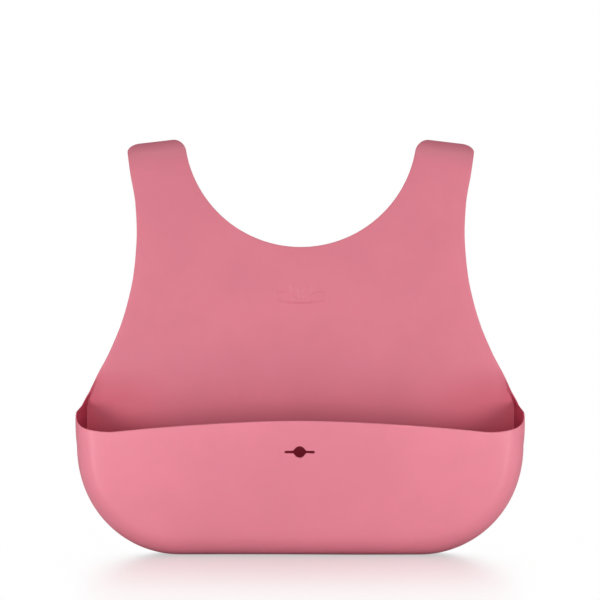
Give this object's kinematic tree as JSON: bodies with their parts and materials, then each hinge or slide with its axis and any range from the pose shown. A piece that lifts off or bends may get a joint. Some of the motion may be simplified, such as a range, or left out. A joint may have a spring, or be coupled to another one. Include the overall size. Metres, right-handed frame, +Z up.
{
  "type": "silicone feeding bib",
  "caption": "Soft silicone baby bib with a standing scoop pocket, a buttonhole in the pocket front and neck straps folded back over the shoulders.",
  "frame": {"origin": "centre of the flat base of the crumb pocket, on the ground", "axes": "+Z up, the chest faces -Y, +X to the viewer's right; the middle of the apron sheet is at Y = +20 mm"},
  "size_m": [0.24, 0.0876, 0.2194],
  "materials": {
    "silicone": "matte silicone, dusty rose",
    "stud": "satin moulded plastic, deeper rose"
  },
  "bodies": {
    "root": {"apron_lower": "silicone", "pocket_scoop": "silicone"},
    "pocket_flap": {"pocket_front": "silicone"},
    "chest": {"apron_upper": "silicone"},
    "left_strap": {"strap_left": "silicone"},
    "right_strap": {"strap_right": "silicone", "neck_stud": "stud", "stud_retainer": "stud"}
  },
  "joints": [
    {"name": "bib_fold", "type": "hinge", "parent": "root", "child": "chest", "pos_m": [0, 0.01905, 0.103], "axis": [1, 0, 0], "range_deg": [-10, 110], "stiffness_Nm_per_rad": 0.15, "springref_deg": 1.35},
    {"name": "pocket_front_flex", "type": "hinge", "parent": "root", "child": "pocket_flap", "pos_m": [0, -0.024, 0.013], "axis": [1, 0, 0], "range_deg": [-20, 12], "stiffness_Nm_per_rad": 0.06, "springref_deg": -0.64},
    {"name": "strap_left_fold", "type": "hinge", "parent": "chest", "child": "left_strap", "pos_m": [-0.07762, 0.034, 0.21823], "axis": [0.9932, 0, 0.1167], "range_deg": [-8, 170], "stiffness_Nm_per_rad": 0.02, "springref_deg": 1.9},
    {"name": "strap_right_fold", "type": "hinge", "parent": "chest", "child": "right_strap", "pos_m": [0.07762, 0.034, 0.21823], "axis": [0.9932, 0, -0.1167], "range_deg": [-8, 170], "stiffness_Nm_per_rad": 0.02, "springref_deg": 2.27}
  ]
}
